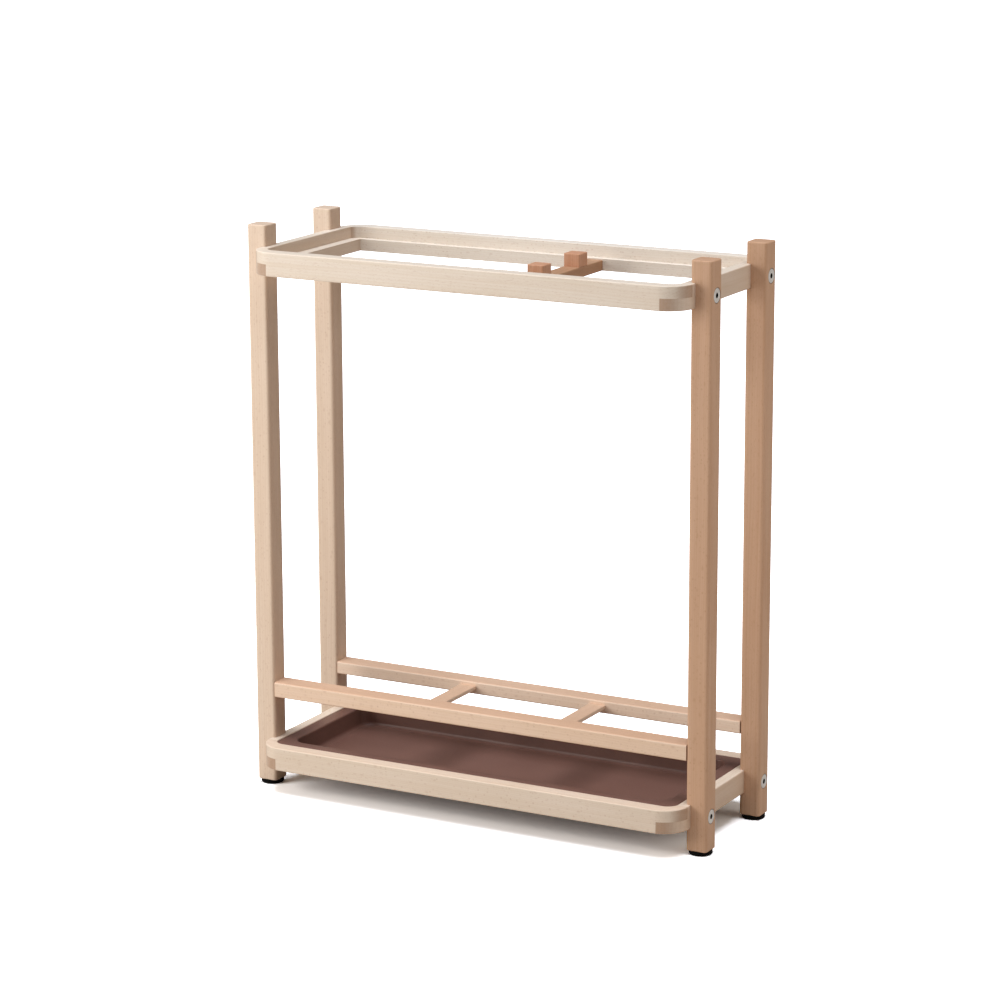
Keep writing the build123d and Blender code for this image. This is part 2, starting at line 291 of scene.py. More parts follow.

# %% [markdown]
# ## Beech
# Beech is pale, close and even. Three things make it beech: faint growth rings, long slow
# streaks along the board, and the short brown flecks of its rays, which are spindles on
# one face, broad shiny patches on the face beside it, and fine lines on the end. A flat
# pattern would show the same thing on every face. This group is a solid one instead: it
# measures how far each point is from the heart of the log and how far round it, so rings
# and flecks fall on all faces as they do when a beam is sawn from a tree. A face that looks
# straight out of the log is flat-sawn and is made ruddier and darker than the face beside
# it, partly as the figure of the wood and partly as painted shade on faces such as the tops
# of rails that lie under others. End grain soaks up oil and is darker still.

# %% Group: beech
def build_beech():
    tree, inside, outside = open_group(
        "beech",
        [("Point in mm", "vector", None), ("Facing", "vector", None),
         ("Pale wood", "colour", colour(230, 215, 195)), ("Dark wood", "colour", colour(205, 178, 150)),
         ("Fleck", "colour", colour(170, 125, 92)), ("Ring width", "number", 2.6),
         ("Ring strength", "number", 0.5), ("Fleck strength", "number", 0.5),
         ("Flat-sawn tone and shade", "number", 0.0), ("End grain", "number", 0.85)],
        [("Colour", "colour"), ("Roughness", "number"), ("Height", "number")])
    point = inside["Point in mm"]

    bend = noise(tree, stretched(tree, point, 70, 70, 330)).outputs["Color"]
    bend = add(tree, "VectorMath", {0: bend, 1: (0.5, 0.5, 0.5)}, operation="SUBTRACT").outputs[0]
    bend = add(tree, "VectorMath", {0: bend, 1: (14, 14, 0)}, operation="MULTIPLY").outputs[0]
    in_log = add(tree, "VectorMath", {0: point, 1: bend}, operation="ADD").outputs[0]
    across = add(tree, "SeparateXYZ", {0: in_log}).outputs
    x_part, y_part, along = across[0], across[1], across[2]
    from_heart = distance_from_axis(tree, x_part, y_part)
    round_heart = calc(tree, "MULTIPLY", calc(tree, "ARCTAN2", y_part, x_part), 110.0)
    unrolled = add(tree, "CombineXYZ", {0: from_heart, 1: round_heart, 2: along}).outputs[0]

    turn = calc(tree, "FRACT", calc(tree, "DIVIDE", from_heart, inside["Ring width"]))
    late_wood = calc(tree, "MULTIPLY", fade(tree, turn, 0.35, 0.93), fade(tree, turn, 1.0, 0.94))
    rings = calc(tree, "MULTIPLY", late_wood, inside["Ring strength"])

    streak = noise(tree, stretched(tree, unrolled, 4.0, 5.0, 240), detail=3.0).outputs[0]
    streak = fade(tree, streak, 0.32, 0.72)
    drift = fade(tree, noise(tree, stretched(tree, point, 60, 60, 190)).outputs[0], 0.3, 0.7)
    shade = calc(tree, "ADD", calc(tree, "MULTIPLY", streak, 0.45), calc(tree, "MULTIPLY", drift, 0.35))
    shade = calc(tree, "ADD", shade, calc(tree, "MULTIPLY", rings, 0.6), clamp=True)
    wood = blend_colours(tree, shade, inside["Pale wood"], inside["Dark wood"])

    def flecks(long_way, round_way, along_way, start, end):
        cells = {"Vector": stretched(tree, unrolled, long_way, round_way, along_way), "Scale": 1.0}
        cell = add(tree, "TexVoronoi", cells)
        shape = fade(tree, cell.outputs["Distance"], start, end)
        luck = add(tree, "SeparateColor", {0: cell.outputs["Color"]}).outputs[0]
        return calc(tree, "MULTIPLY", shape, fade(tree, luck, 0.45, 1.0))

    fine = flecks(4.0, 0.5, 3.6, 0.46, 0.10)
    broad = flecks(7.0, 0.9, 9.0, 0.40, 0.08)
    fleck = calc(tree, "MAXIMUM", fine, calc(tree, "MULTIPLY", broad, 0.8))
    fleck = calc(tree, "MULTIPLY", fleck, inside["Fleck strength"])
    wood = blend_colours(tree, fleck, wood, inside["Fleck"])

    pores = noise(tree, stretched(tree, point, 0.22, 0.22, 3.2), detail=1.0).outputs[0]
    pores = fade(tree, pores, 0.60, 0.74)
    wood = blend_colours(tree, calc(tree, "MULTIPLY", pores, 0.16), wood, inside["Fleck"])

    out_of_log = add(tree, "CombineXYZ", {0: x_part, 1: y_part}).outputs[0]
    out_of_log = add(tree, "VectorMath", {0: out_of_log}, operation="NORMALIZE").outputs[0]
    outward = add(tree, "VectorMath", {0: out_of_log, 1: inside["Facing"]}, operation="DOT_PRODUCT")
    # partly painted shade: faces that look along the chosen axis are made ruddier and darker
    flat_sawn_and_shaded = fade(tree, calc(tree, "ABSOLUTE", outward.outputs["Value"]), 0.45, 0.90)
    ruddy_and_shade = calc(tree, "MULTIPLY", flat_sawn_and_shaded, inside["Flat-sawn tone and shade"])
    wood = tint(tree, ruddy_and_shade, wood, (0.80, 0.69, 0.62))

    facing = add(tree, "SeparateXYZ", {0: inside["Facing"]}).outputs[2]
    end_grain = fade(tree, calc(tree, "ABSOLUTE", facing), 0.55, 0.95)
    soaked = calc(tree, "MULTIPLY", end_grain, inside["End grain"])
    wood = tint(tree, soaked, wood, (0.55, 0.41, 0.33))

    rough = calc(tree, "ADD", 0.46, calc(tree, "MULTIPLY", streak, 0.06))
    rough = calc(tree, "ADD", rough, calc(tree, "MULTIPLY", pores, 0.15))
    rough = calc(tree, "ADD", rough, calc(tree, "MULTIPLY", end_grain, 0.14))
    rough = calc(tree, "SUBTRACT", rough, calc(tree, "MULTIPLY", fleck, 0.08))
    height = calc(tree, "ADD", calc(tree, "MULTIPLY", pores, -0.6), calc(tree, "MULTIPLY", fleck, -0.25))
    height = calc(tree, "ADD", height, calc(tree, "MULTIPLY", rings, -0.25))

    tree.links.new(wood, outside["Colour"])
    tree.links.new(rough, outside["Roughness"])
    tree.links.new(height, outside["Height"])
    return tree


beech = build_beech()
print("group:", beech.name, "with", len(beech.nodes), "nodes")

# %% [markdown]
# ## Sawing each piece from its own log
# Boards in one stand come from different trees, so each wooden piece gets its own heart
# position, its own place along the log and its own shade. A Mapping node does the
# carpentry: it turns the piece so that its grain runs along Z, works in millimetres, and
# sets the heart of the log well away from the piece. The choices are drawn from a seeded
# generator, so the same tree is felled every time.

# %% Cut a beam from a log
TURN_GRAIN = {"X": (0, math.radians(-90), 0), "Y": (math.radians(90), 0, 0), "Z": (0, 0, 0)}
AXES = {"X": Vector((1, 0, 0)), "Y": Vector((0, 1, 0)), "Z": Vector((0, 0, 1))}
timber = random.Random(41)


def middle_of(node_name):
    low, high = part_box(node_name)
    return (low + high) / 2


def beech_material(node_name, grain, pale, dark, flat_sawn_and_shaded="", tone=0.0, end_grain=0.85,
                   fleck_strength=0.26):
    """A beech finish for one CAD piece, with its own log; grain is the axis that it runs along.

    The flat-sawn axis is the one that the flat-sawn faces look along, where that shows, and
    tone is how much ruddier and darker those faces are made, partly as the figure of the wood
    and partly as painted shade."""
    turn = TURN_GRAIN[grain]
    heart_distance = timber.uniform(70, 130)
    heart_bearing = timber.uniform(0, math.tau)
    place_in_log = timber.uniform(1000, 9000)
    if flat_sawn_and_shaded:
        outward = Euler(turn).to_matrix() @ AXES[flat_sawn_and_shaded]
        heart_bearing = math.atan2(outward.y, outward.x)
    middle = Euler(turn).to_matrix() @ (middle_of(node_name) / MM)
    heart = Vector((math.cos(heart_bearing), math.sin(heart_bearing), 0)) * heart_distance
    shift = heart - middle + Vector((0, 0, place_in_log))

    material, tree, shader = open_material("beech_" + node_name)
    where = add(tree, "TexCoord").outputs
    sawing = {"Vector": where["Object"], "Location": shift, "Rotation": turn,
              "Scale": (1 / MM, 1 / MM, 1 / MM)}
    sawn = add(tree, "Mapping", sawing)
    facing = add(tree, "Mapping", {"Vector": where["Normal"], "Rotation": turn}, vector_type="VECTOR")
    values = {"Point in mm": sawn.outputs[0], "Facing": facing.outputs[0], "Pale wood": pale,
              "Dark wood": dark, "Ring width": timber.uniform(2.0, 3.4),
              "Fleck strength": fleck_strength, "Flat-sawn tone and shade": tone, "End grain": end_grain}
    wood = place_group(tree, beech, values)
    edge = place_group(tree, edge_wear_and_highlight, {"Point in mm": sawn.outputs[0], "Reach in mm": 2.2})["Edge"]
    rubbed = tint(tree, calc(tree, "MULTIPLY", edge, 0.45), wood["Colour"], (0.86, 0.79, 0.72))
    wire(tree, shader, rubbed, wood["Roughness"], wood["Height"], 0.12 * MM, 0.6)
    shader.inputs["Specular IOR Level"].default_value = 0.35
    return material


def dress(node_name, material):
    """Gives a CAD piece its finish, and leaves its shape alone."""
    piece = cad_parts[node_name]
    if not piece.material_slots:
        piece.data.materials.append(material)
    for place in piece.material_slots:
        place.material = material


print("ready to saw", sum("rail" in n or "post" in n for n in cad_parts), "beams")

# %% [markdown]
# ## The shades of the boards
# The frames are the palest wood: the top one is cream, with an ivory back rail, and the
# base one is biscuit. The posts on the left are a little pink, those on the right are
# toasted, the rack is rosy and paler at the back, the small pegs are warm, and their cross
# rail is the deepest of all. The paler back rails are partly other boards and partly painted
# light: the top frame's back rail carries painted light that brightens its top face, and
# the rack's back rail is lifted against the shade that the rails in front and above throw
# on it. Each shade is a pair of colours, pale and dark, that the beech group moves between.

# %% Dress the wood
cream = (colour(234, 221, 206), colour(225, 208, 188))
# partly painted light: a paler copy of cream that brightens the top face of the top frame's back rail
ivory_with_painted_light = (colour(241, 231, 219), colour(233, 220, 204))
biscuit = (colour(233, 216, 198), colour(223, 203, 181))
blush = (colour(231, 209, 188), colour(221, 196, 172))
toasted = (colour(210, 171, 141), colour(199, 157, 125))
rosy = (colour(237, 209, 185), colour(229, 198, 170))
# partly painted light: a paler copy of rosy that lifts the rack's back rail out of the shade of the rails in
# front and above
pale_rosy_with_painted_light = (colour(244, 220, 198), colour(237, 209, 184))
honey = (colour(213, 164, 133), colour(201, 145, 112))
amber = (colour(184, 143, 111), colour(171, 127, 97))

end_shades = {"top": cream, "base": biscuit}
top_shades = {"front": cream, "back": ivory_with_painted_light}
rack_shades = {"front": rosy, "back": pale_rosy_with_painted_light}
# The flat-sawn tint below is partly painted shade: it darkens the tops and undersides of the rack rails,
# base rails and slats, which lie under other rails, and the sides of posts, pegs and end rails.
for front in ("front", "back"):
    name = f"post_{front}_left"
    dress(name, beech_material(name, "Z", *blush, flat_sawn_and_shaded="X", tone=0.6, end_grain=0.2))
    name = f"post_{front}_right"
    dress(name, beech_material(name, "Z", *toasted, flat_sawn_and_shaded="X", tone=0.15, end_grain=0.2,
                               fleck_strength=0.34))
    name = f"top_rail_{front}"
    dress(name, beech_material(name, "X", *top_shades[front]))
    name = f"base_rail_{front}"
    dress(name, beech_material(name, "X", *biscuit, flat_sawn_and_shaded="Z", tone=0.45))
    name = f"rack_rail_{front}"
    dress(name, beech_material(name, "X", *rack_shades[front], flat_sawn_and_shaded="Z", tone=1.0))
    name = f"peg_{front}"
    dress(name, beech_material(name, "Z", *honey, flat_sawn_and_shaded="X", tone=0.3, end_grain=0.2))
for side in ("left", "right"):
    for level, shade in end_shades.items():
        name = f"{level}_rail_{side}"
        dress(name, beech_material(name, "Y", *shade, flat_sawn_and_shaded="X", tone=0.7))
    name = f"rack_slat_{side}"
    dress(name, beech_material(name, "Y", *rosy, flat_sawn_and_shaded="Z", tone=0.8))
dress("top_cross_rail", beech_material("top_cross_rail", "Y", *amber))
dress("rack_dowels", beech_material("rack_dowels", "X", *rosy))
dress("cross_rail_dowels", beech_material("cross_rail_dowels", "Y", *rosy))
print(sum(m.name.startswith("beech") for m in bpy.data.materials), "pieces of beech")

# %% [markdown]
# ## Modelling words
# The new pieces are modelled with bmesh operators. One helper turns a finished bmesh into
# an object with smooth shading and weighted normals, so that flat faces stay flat beside
# small rounds, and one rounds edges. The others make a rounded rectangle of edges and pull
# walls out of it, ring by ring, which is how a thin moulding or a frame is closed.

# %% Helpers for modelling
WELD = 0.01 * MM     # points closer than this become one
TOUCH = 0.005 * MM   # values closer than this are taken as equal


def finish_piece(bm, name, body, material, replaces, sharp_angle=40):
    """Makes a piece from a bmesh: its place stays in its mesh, and its object at the origin."""
    bmesh.ops.remove_doubles(bm, verts=bm.verts, dist=WELD)
    bmesh.ops.recalc_face_normals(bm, faces=bm.faces)
    mesh = bpy.data.meshes.new(name)
    bm.to_mesh(mesh)
    bm.free()
    mesh.shade_smooth()
    mesh.set_sharp_from_angle(angle=math.radians(sharp_angle))
    mesh.materials.append(material)
    piece = bpy.data.objects.new(name, mesh)
    bpy.context.scene.collection.objects.link(piece)
    even = piece.modifiers.new("flat faces stay flat", "WEIGHTED_NORMAL")
    even.keep_sharp = True
    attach(piece, body)
    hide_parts(*replaces)
    print(name, "has", len(mesh.polygons), "faces")


def round_edges(bm, edges, radius, steps):
    bmesh.ops.bevel(bm, geom=edges, offset=radius, offset_type="OFFSET", affect="EDGES",
                    segments=steps, profile=0.5, material=-1, clamp_overlap=True)


def first_ring(bm, size, steps=16):
    """A rounded rectangle of edges about the Z axis; a size is half lengths, corner radius and height."""
    half_x, half_y, radius, height = size
    corners = bmesh.ops.create_grid(bm, x_segments=1, y_segments=1, size=1.0)["verts"]
    bmesh.ops.scale(bm, vec=(half_x, half_y, 1), verts=corners)
    bmesh.ops.translate(bm, vec=(0, 0, height), verts=corners)
    bmesh.ops.bevel(bm, geom=corners, offset=radius, offset_type="OFFSET", affect="VERTICES",
                    segments=steps, profile=0.5, material=-1)
    bmesh.ops.delete(bm, geom=list(bm.faces), context="FACES_ONLY")
    return list(bm.edges)


def next_ring(bm, ring, size, new_size):
    """Pulls a wall out of a ring and fits the wall's far edge to a new size."""
    pulled = bmesh.ops.extrude_edge_only(bm, edges=ring)["geom"]
    verts = [part for part in pulled if isinstance(part, bmesh.types.BMVert)]
    for vert in verts:
        place = [0.0, 0.0]
        for axis in (0, 1):
            away = math.copysign(1.0, vert.co[axis])
            in_corner = vert.co[axis] - away * (size[axis] - size[2])
            place[axis] = away * (new_size[axis] - new_size[2]) + in_corner * new_size[2] / size[2]
        vert.co = (*place, new_size[3])
    verts = set(verts)
    return [part for part in pulled if isinstance(part, bmesh.types.BMEdge) and set(part.verts) <= verts]


def walk_rings(bm, sizes):
    """Skins a wall through a list of ring sizes, and returns the rings."""
    rings = [first_ring(bm, sizes[0])]
    for size, new_size in zip(sizes, sizes[1:]):
        rings.append(next_ring(bm, rings[-1], size, new_size))
    return rings


print("modelling helpers ready")

# %% [markdown]
# ## The two lapped frames
# The two frames are made alike here: four rails, half-lapped at the corners, with their
# outer corners rounded and a pocket cut into the upper side. The base frame's pocket holds
# the tray. The top frame is given the same pocket to match the design, and that is a guess.
# It is natural to work in the order of a joiner: the whole frame first, as one closed band
# of rings, and only then the cuts that part it into rails. The front and back rails own the
# upper half of each corner, and the end rails own the lower half.

# %% The measures of a frame
frame_low, frame_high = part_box("base_rail_right")
frame_height = frame_high.z - frame_low.z
frame_x = frame_high.x
frame_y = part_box("base_rail_back")[1].y
rail_width = frame_x - frame_low.x
lap_height = frame_height / 2
opening_x, opening_y = frame_x - rail_width, frame_y - rail_width
end_ledge, long_ledge = 13.0 * MM, 9.0 * MM
pocket_x, pocket_y = opening_x + end_ledge, opening_y + long_ledge
outer_ease, pocket_ease = 1.5 * MM, 1.0 * MM
outer_corner, pocket_corner, sharp_corner = 30.0 * MM, 13.0 * MM, 0.001 * MM
frame_bases = {"top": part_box("top_rail_right")[0].z, "base": frame_low.z}
print("frame in mm:", [round(x / MM, 1) for x in (2 * frame_x, 2 * frame_y, frame_height)])


# %% Model a whole frame
def model_frame():
    """The frame in one, with its lower face at height 0, scored along every cut to come."""
    outside = (frame_x, frame_y, outer_corner)
    pocket = (pocket_x, pocket_y, pocket_corner)
    opening = (opening_x, opening_y, sharp_corner)
    bm = bmesh.new()
    low_outer, high_outer, pocket_rim, *_ = walk_rings(bm, [
        (*outside, 0.0), (*outside, frame_height), (*pocket, frame_height),
        (*pocket, lap_height), (*opening, lap_height), (*opening, 0.0)])
    next_ring(bm, low_outer, (*outside, 0.0), (*opening, 0.0))
    bmesh.ops.remove_doubles(bm, verts=bm.verts, dist=WELD)
    round_edges(bm, low_outer + high_outer, outer_ease, 4)
    round_edges(bm, pocket_rim, pocket_ease, 3)
    cuts = [((0, 0, lap_height), (0, 0, 1))]
    cuts += [((x, 0, 0), (1, 0, 0)) for x in (-opening_x, opening_x)]
    cuts += [((0, y, 0), (0, 1, 0)) for y in (-opening_y, opening_y)]
    for point, normal in cuts:
        everything = list(bm.verts) + list(bm.edges) + list(bm.faces)
        bmesh.ops.bisect_plane(bm, geom=everything, dist=0.001 * MM, plane_co=point, plane_no=normal)
    return bm


whole_frame = model_frame()
print("whole frame:", len(whole_frame.faces), "faces")


# %% Part the frame into rails
def near(value, target):
    return abs(value - target) < TOUCH


def close_lap(rail, side, front):
    """Closes one corner's lap where the cut opened it: its upright end, its butt and its seat."""
    def at(x, y):
        return next(v for v in rail.verts if near(v.co.z, lap_height) and near(v.co.x * side, x)
                    and near(v.co.y * front, y))

    opened = [e for e in rail.edges if e.is_boundary and
              all(v.co.x * side > opening_x - WELD and v.co.y * front > opening_y - WELD for v in e.verts)]
    if not opened:
        return
    on_seat = [v for e in opened for v in e.verts if near(v.co.z, lap_height)]
    crossed = [abs(v.co.x) for v in on_seat if near(abs(v.co.y), opening_y) and abs(v.co.x) > opening_x + MM]
    outer_y = max(abs(v.co.y) for v in on_seat if near(abs(v.co.x), opening_x))
    across = rail.edges.new((at(max(crossed), opening_y), at(min(crossed), opening_y)))
    along = rail.edges.new((at(opening_x, pocket_y), at(opening_x, outer_y)))
    upright = [e for e in opened if all(near(abs(v.co.y), opening_y) and v.co.z > lap_height - TOUCH
                                        for v in e.verts)]
    butt = [e for e in opened if all(near(abs(v.co.x), opening_x) for v in e.verts)]
    seat = [e for e in opened if e not in upright and e not in butt]
    for edges in (upright + [across], butt + [along], seat + [across, along]):
        bmesh.ops.edgeloop_fill(rail, edges=edges)


def part_rail(whole, keeps):
    """Keeps a rail's own faces of the whole frame, and closes its laps."""
    rail = whole.copy()
    lost = [face for face in rail.faces if not keeps(face.calc_center_median())]
    bmesh.ops.delete(rail, geom=lost, context="FACES")
    for side in (-1, 1):
        for front in (-1, 1):
            close_lap(rail, side, front)
    return rail


def long_rail_keeps(front):
    return lambda p: (p.y * front > opening_y - TOUCH and
                      (p.z > lap_height + TOUCH or abs(p.x) < opening_x + TOUCH))


def end_rail_keeps(side):
    return lambda p: (p.x * side > opening_x - TOUCH and
                      (p.z < lap_height + TOUCH or abs(p.y) < opening_y + TOUCH))


for level, base in frame_bases.items():
    rails = {f"{level}_rail_front": long_rail_keeps(-1), f"{level}_rail_back": long_rail_keeps(1),
             f"{level}_rail_left": end_rail_keeps(-1), f"{level}_rail_right": end_rail_keeps(1)}
    for node_name, keeps in rails.items():
        rail = part_rail(whole_frame, keeps)
        bmesh.ops.translate(rail, vec=(0, 0, base), verts=rail.verts)
        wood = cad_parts[node_name].material_slots[0].material
        finish_piece(rail, "lapped_" + node_name, "stand", wood, [node_name])
whole_frame.free()

# %% [markdown]
# ## Moulded brown plastic
# The tray is moulded in a red-brown plastic with a fine spark texture, the dull grain that
# a mould tool leaves. It is nearly matt, so it needs three scales of detail: a slow drift
# of tone over a hand's width, a fine mottle, and the grain itself in the bump. Rims are
# made a little paler, partly as wear and partly as a painted highlight on their rounds,
# and the floor keeps a few faint scuffs. The drift and the mottle serve the rubber and the
# steel as well, so they are a group.

# %% Group: uneven tone
def build_uneven_tone():
    tree, inside, outside = open_group(
        "uneven tone",
        [("Point in mm", "vector", None), ("Drift size", "number", 60.0), ("Mottle size", "number", 1.5)],
        [("Drift", "number"), ("Mottle", "number"), ("Grain", "number")])
    point = inside["Point in mm"]

    def layer(size, detail):
        place = add(tree, "VectorMath", {0: point, 1: size}, operation="DIVIDE").outputs[0]
        return noise(tree, place, detail=detail).outputs[0]

    tree.links.new(fade(tree, layer(inside["Drift size"], 3.0), 0.3, 0.7), outside["Drift"])
    tree.links.new(fade(tree, layer(inside["Mottle size"], 3.0), 0.3, 0.7), outside["Mottle"])
    grain_size = calc(tree, "MULTIPLY", inside["Mottle size"], 0.3)
    tree.links.new(layer(grain_size, 2.0), outside["Grain"])
    return tree


uneven_tone = build_uneven_tone()
print("group:", uneven_tone.name)


# %% Moulded brown plastic
def tray_material():
    material, tree, shader = open_material("brown_plastic")
    point = in_millimetres(tree)
    tone = place_group(tree, uneven_tone, {"Point in mm": point, "Drift size": 85.0, "Mottle size": 1.4})
    edges = place_group(tree, edge_wear_and_highlight, {"Point in mm": point, "Reach in mm": 1.6, "Patchiness": 0.6})
    base = blend_colours(tree, tone["Drift"], colour(120, 88, 78), colour(115, 83, 73))
    base = blend_colours(tree, calc(tree, "MULTIPLY", tone["Mottle"], 0.3), base, colour(104, 74, 65))
    # partly painted highlight: the rims go paler, partly as wear and partly as the light their rounds catch
    base = blend_colours(tree, calc(tree, "MULTIPLY", edges["Edge"], 0.35), base, colour(160, 128, 116))
    scuffs = noise(tree, stretched(tree, point, 30, 2.0, 30), detail=4.0).outputs[0]
    scuffs = fade(tree, scuffs, 0.62, 0.75)
    rough = calc(tree, "ADD", 0.40, calc(tree, "MULTIPLY", tone["Mottle"], 0.06))
    rough = calc(tree, "ADD", rough, calc(tree, "MULTIPLY", scuffs, 0.05))
    wire(tree, shader, base, rough, tone["Grain"], 0.06 * MM, 0.5)
    shader.inputs["Specular IOR Level"].default_value = 0.45
    return material


brown_plastic = tray_material()
print("material:", brown_plastic.name)

# %% [markdown]
# ## The drip tray
# The tray is one thin moulding: a flange with a short skirt that stands on the ledge of
# the base frame, round a basin with slightly sloping walls, so that it comes out of its
# mould. It is built as eight rounded rings: from the bottom of the basin up to its mouth,
# out over the flange, down the skirt, and back along the underside. Pulling a wall from
# ring to ring closes it, and bevels on the rings then make the rim and the soft bottom.

# %% Model the drip tray
tray_low, tray_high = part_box("drip_tray")
tray_wall = 2.0 * MM
flange_width = 16.0 * MM
flange_corner = 12.5 * MM
basin_corner = 15.0 * MM
skirt_height = 13.0 * MM
skirt_foot = tray_high.z - skirt_height
flange_x, flange_y = tray_high.x, tray_high.y
mouth_x, mouth_y = flange_x - flange_width, flange_y - flange_width
draft = math.tan(math.radians(3))


def model_drip_tray():
    floor_top = tray_low.z + tray_wall
    below_flange = tray_high.z - tray_wall
    pull_in = (tray_high.z - floor_top) * draft
    pull_out = (tray_high.z - tray_low.z) * draft
    inside_x, inside_y = flange_x - tray_wall, flange_y - tray_wall
    under_x, under_y, under_corner = mouth_x + tray_wall, mouth_y + tray_wall, basin_corner + tray_wall
    bottom_out = (mouth_x - pull_in, mouth_y - pull_in, basin_corner - pull_in, floor_top)
    bottom_in = (under_x - pull_out, under_y - pull_out, under_corner - pull_out, tray_low.z)
    bm = bmesh.new()
    rings = walk_rings(bm, [
        bottom_out,
        (mouth_x, mouth_y, basin_corner, tray_high.z),
        (flange_x, flange_y, flange_corner, tray_high.z),
        (flange_x, flange_y, flange_corner, skirt_foot),
        (inside_x, inside_y, flange_corner - tray_wall, skirt_foot),
        (inside_x, inside_y, flange_corner - tray_wall, below_flange),
        (under_x, under_y, under_corner, below_flange),
        bottom_in])
    bottom, mouth, rim, *_, underside = rings
    for end in (bottom, underside):
        bmesh.ops.edgeloop_fill(bm, edges=end)
    rounds = ((rim, 1.2, 4), (mouth, 1.8, 5), (bottom, 4.5, 8), (underside, 6.5, 8))
    for ring, radius, steps in rounds:
        round_edges(bm, ring, radius * MM, steps)
    return bm


finish_piece(model_drip_tray(), "moulded_drip_tray", "tray", brown_plastic,
             ["drip_tray"])

# %% [markdown]
# ## Rubber feet
# A foot is a turned disc of black rubber with a stem that is pressed up into the post. It
# is round all the way, so a half profile spun about its axis is the natural way to make
# it. The lower edge is rounded, and a shallow recess underneath leaves a ring that grips
# the floor.

# %% Black rubber
def rubber_material():
    material, tree, shader = open_material("black_rubber")
    point = in_millimetres(tree)
    tone = place_group(tree, uneven_tone, {"Point in mm": point, "Drift size": 9.0, "Mottle size": 0.5})
    edges = place_group(tree, edge_wear_and_highlight, {"Point in mm": point, "Reach in mm": 1.0, "Patchiness": 0.8})
    base = blend_colours(tree, tone["Drift"], colour(14, 13, 14), colour(20, 19, 19))
    base = blend_colours(tree, calc(tree, "MULTIPLY", edges["Edge"], 0.3), base, colour(44, 42, 41))
    rough = calc(tree, "ADD", 0.66, calc(tree, "MULTIPLY", tone["Mottle"], 0.18))
    wire(tree, shader, base, rough, tone["Grain"], 0.05 * MM, 0.5)
    shader.inputs["Specular IOR Level"].default_value = 0.12
    return material


black_rubber = rubber_material()
print("material:", black_rubber.name)


# %% Model the feet
def model_foot(node_name):
    low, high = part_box(node_name)
    centre = (low + high) / 2
    disc_radius = (high.x - low.x) / 2
    disc_height, stem_radius = 5.0 * MM, 3.0 * MM
    recess_radius, recess_depth, recess_slope = 8.0 * MM, 0.6 * MM, 0.6 * MM
    bm = bmesh.new()
    profile = [(0, recess_depth), (recess_radius, recess_depth), (recess_radius + recess_slope, 0),
               (disc_radius, 0), (disc_radius, disc_height), (stem_radius, disc_height),
               (stem_radius, high.z), (0, high.z)]
    corners = [bm.verts.new((x, 0, z)) for x, z in profile]
    outline = [bm.edges.new(pair) for pair in zip(corners, corners[1:])]
    bmesh.ops.spin(bm, geom=corners + outline, cent=(0, 0, 0), axis=(0, 0, 1), angle=math.tau,
                   steps=64, use_merge=True)
    bmesh.ops.remove_doubles(bm, verts=bm.verts, dist=WELD)
    floor_ring = [e for e in bm.edges if all(v.co.z < 0.001 * MM and v.co.xy.length > disc_radius - WELD
                                             for v in e.verts)]
    round_edges(bm, floor_ring, 1.8 * MM, 6)
    bmesh.ops.translate(bm, vec=(centre.x, centre.y, 0), verts=bm.verts)
    return bm


for front in ("front", "back"):
    for side in ("left", "right"):
        node_name = f"foot_{front}_{side}"
        finish_piece(model_foot(node_name), f"rubber_{node_name}", "stand",
                     black_rubber, [node_name])

# %% [markdown]
# ## The frame bolts
# Each frame is drawn to the posts by bolts with wide flat heads, the kind used in furniture
# that is put together at home. All that shows is the bright head, sunk into the post until
# it stands only just proud, and its hexagonal socket. The head starts as a short cylinder,
# and its socket is made from the round face itself: an inset ring is pushed out onto a
# hexagon, and then sunk.

# %% Turned steel
post_x = middle_of("post_front_right").x / MM
post_y = abs(middle_of("post_front_right").y) / MM
bolt_heights = [middle_of(f"{level}_rail_right").z / MM for level in ("base", "top")]


def steel_material():
    """Bright plated steel, with turning marks round each head's middle, painted shade in its
    socket and a painted shadow line round the rim of its head.
    """
    material, tree, shader = open_material("plated_steel")
    point = in_millimetres(tree)
    parts = add(tree, "SeparateXYZ", {0: point}).outputs
    middle = sum(bolt_heights) / 2
    across = calc(tree, "SUBTRACT", calc(tree, "ABSOLUTE", parts[1]), post_y)
    upright = calc(tree, "ABSOLUTE", calc(tree, "SUBTRACT", parts[2], middle))
    upright = calc(tree, "SUBTRACT", upright, bolt_heights[1] - middle)
    radius = distance_from_axis(tree, across, upright)
    turning_pitch = 0.45
    rings = calc(tree, "SINE", calc(tree, "MULTIPLY", radius, math.tau / turning_pitch))
    tone = place_group(tree, uneven_tone, {"Point in mm": point, "Drift size": 6.0, "Mottle size": 0.4})
    base = blend_colours(tree, tone["Drift"], colour(244, 243, 241), colour(228, 227, 225))
    # painted shade: the socket goes dark towards its middle, and the rim of each head darkens like the
    # shadow in the gap round it
    painted_shade_colour = colour(30, 29, 28)
    base = blend_colours(tree, fade(tree, radius, 3.1, 2.7), base, painted_shade_colour)
    base = blend_colours(tree, fade(tree, radius, 7.5, 8.1, 0.0, 0.85), base, painted_shade_colour)
    shader.inputs["Metallic"].default_value = 1.0
    rough = calc(tree, "ADD", 0.40, calc(tree, "MULTIPLY", tone["Mottle"], 0.12))
    rough = calc(tree, "ADD", rough, calc(tree, "MULTIPLY", rings, 0.03))
    height = calc(tree, "ADD", calc(tree, "MULTIPLY", rings, 0.4), tone["Grain"])
    wire(tree, shader, base, rough, height, 0.01 * MM, 0.5)
    return material


plated_steel = steel_material()
print("material:", plated_steel.name, "bolt heights", bolt_heights)


